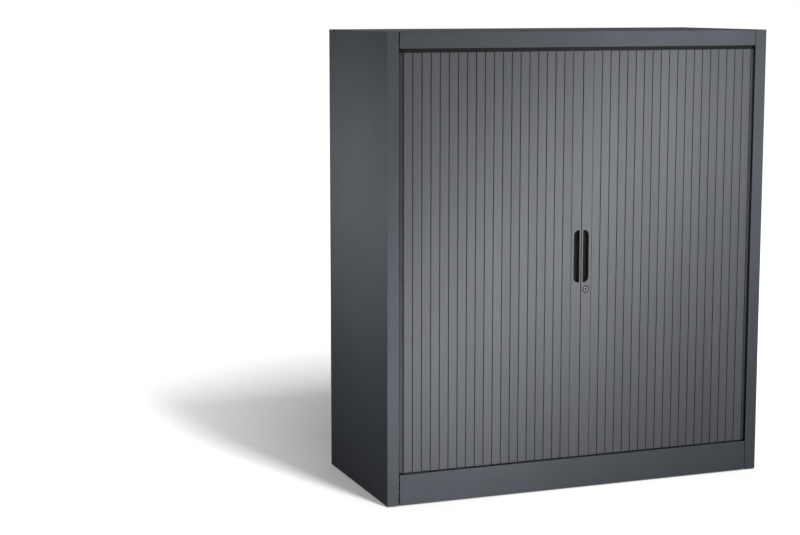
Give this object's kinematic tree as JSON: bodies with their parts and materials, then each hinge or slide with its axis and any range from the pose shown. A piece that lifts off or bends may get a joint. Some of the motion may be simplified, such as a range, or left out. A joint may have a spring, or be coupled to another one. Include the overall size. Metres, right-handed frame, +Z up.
{
  "type": "side-rolling shutter cabinet",
  "caption": "Low steel storage cabinet closed by two side-rolling shutters of vertical slats, with recessed handles, a cylinder lock, shelves and levelling feet.",
  "frame": {"origin": "on the floor, under the middle of the cabinet", "axes": "+Z up, the front faces -Y, +X to the right seen from the front"},
  "size_m": [1, 0.42, 1.115],
  "materials": {
    "painted_steel": "fine powder coat, anthracite grey, satin",
    "slat_plastic": "extruded slats, anthracite grey, smooth satin with faint lines along their length",
    "black_plastic": "moulded black plastic, fine grain",
    "lock_chrome": "satin nickel plate",
    "lock_black": "black lacquer on a die-cast lock housing",
    "zinc_steel": "zinc plated",
    "rubber": "black rubber"
  },
  "bodies": {
    "carcass": {"access_caps": "black_plastic", "back_panel": "painted_steel", "back_screws": "zinc_steel", "base_panel": "painted_steel", "ceiling_panel": "painted_steel", "centre_stops": "rubber", "front_left_foot_bracket": "painted_steel", "front_left_foot_nut": "zinc_steel", "front_plinth": "painted_steel", "front_right_foot_bracket": "painted_steel", "front_right_foot_nut": "zinc_steel", "inner_back_panel": "painted_steel", "left_front_slats": "slat_plastic", "left_lower_track": "black_plastic", "left_side_liner": "painted_steel", "left_side_panel": "painted_steel", "left_tail_slats": "slat_plastic", "left_upper_track": "black_plastic", "lower_shelf": "painted_steel", "lower_shelf_clips": "zinc_steel", "rear_left_foot_bracket": "painted_steel", "rear_left_foot_nut": "zinc_steel", "rear_right_foot_bracket": "painted_steel", "rear_right_foot_nut": "zinc_steel", "right_front_slats": "slat_plastic", "right_lower_track": "black_plastic", "right_side_liner": "painted_steel", "right_side_panel": "painted_steel", "right_tail_slats": "slat_plastic", "right_upper_track": "black_plastic", "top_panel": "painted_steel", "track_end_stops": "rubber", "track_screws": "zinc_steel", "upper_shelf": "painted_steel", "upper_shelf_clips": "zinc_steel"},
    "left_shutter": {"left_lead_rail": "slat_plastic", "left_handle_shell": "black_plastic", "left_lower_shoe": "black_plastic", "left_upper_shoe": "black_plastic", "lock_strike": "zinc_steel", "strike_rivets": "zinc_steel"},
    "right_shutter": {"right_lead_rail": "slat_plastic", "right_handle_shell": "black_plastic", "right_lower_shoe": "black_plastic", "right_upper_shoe": "black_plastic", "lock_housing": "lock_black", "lock_nut": "zinc_steel"},
    "lock_barrel": {"lock_plug": "lock_chrome", "lock_hook": "zinc_steel", "hook_screw": "zinc_steel"},
    "front_left_foot": {"front_left_foot_pad": "black_plastic"},
    "front_left_spindle": {"front_left_foot_spindle": "zinc_steel"},
    "front_right_foot": {"front_right_foot_pad": "black_plastic"},
    "front_right_spindle": {"front_right_foot_spindle": "zinc_steel"},
    "rear_left_foot": {"rear_left_foot_pad": "black_plastic"},
    "rear_left_spindle": {"rear_left_foot_spindle": "zinc_steel"},
    "rear_right_foot": {"rear_right_foot_pad": "black_plastic"},
    "rear_right_spindle": {"rear_right_foot_spindle": "zinc_steel"}
  },
  "joints": [
    {"name": "left_shutter_slide", "type": "slide", "parent": "carcass", "child": "left_shutter", "axis": [-1, 0, 0], "range_m": [0, 0.428], "deforming": ["left_front_slats", "left_tail_slats"]},
    {"name": "right_shutter_slide", "type": "slide", "parent": "carcass", "child": "right_shutter", "axis": [1, 0, 0], "range_m": [0, 0.428], "deforming": ["right_front_slats", "right_tail_slats"]},
    {"name": "lock_turn", "type": "hinge", "parent": "right_shutter", "child": "lock_barrel", "pos_m": [0.0132, -0.2, 0.493], "axis": [0, 1, 0], "range_deg": [0, 90]},
    {"name": "front_left_foot_lift", "type": "slide", "parent": "carcass", "child": "front_left_foot", "axis": [0, 0, 1], "range_m": [-0.01, 0]},
    {"name": "front_left_spindle_turn", "type": "hinge", "parent": "front_left_foot", "child": "front_left_spindle", "pos_m": [-0.455, -0.148, 0], "axis": [0, 0, 1], "range_deg": [-2881, 0]},
    {"name": "front_right_foot_lift", "type": "slide", "parent": "carcass", "child": "front_right_foot", "axis": [0, 0, 1], "range_m": [-0.01, 0]},
    {"name": "front_right_spindle_turn", "type": "hinge", "parent": "front_right_foot", "child": "front_right_spindle", "pos_m": [0.455, -0.148, 0], "axis": [0, 0, 1], "range_deg": [-2881, 0]},
    {"name": "rear_left_foot_lift", "type": "slide", "parent": "carcass", "child": "rear_left_foot", "axis": [0, 0, 1], "range_m": [-0.01, 0]},
    {"name": "rear_left_spindle_turn", "type": "hinge", "parent": "rear_left_foot", "child": "rear_left_spindle", "pos_m": [-0.455, 0.148, 0], "axis": [0, 0, 1], "range_deg": [-2881, 0]},
    {"name": "rear_right_foot_lift", "type": "slide", "parent": "carcass", "child": "rear_right_foot", "axis": [0, 0, 1], "range_m": [-0.01, 0]},
    {"name": "rear_right_spindle_turn", "type": "hinge", "parent": "rear_right_foot", "child": "rear_right_spindle", "pos_m": [0.455, 0.148, 0], "axis": [0, 0, 1], "range_deg": [-2881, 0]}
  ],
  "couplings": [
    {"joint": "front_left_spindle_turn", "follows": "front_left_foot_lift", "rad_per_m": 5026.5},
    {"joint": "front_right_spindle_turn", "follows": "front_right_foot_lift", "rad_per_m": 5026.5},
    {"joint": "rear_left_spindle_turn", "follows": "rear_left_foot_lift", "rad_per_m": 5026.5},
    {"joint": "rear_right_spindle_turn", "follows": "rear_right_foot_lift", "rad_per_m": 5026.5}
  ]
}
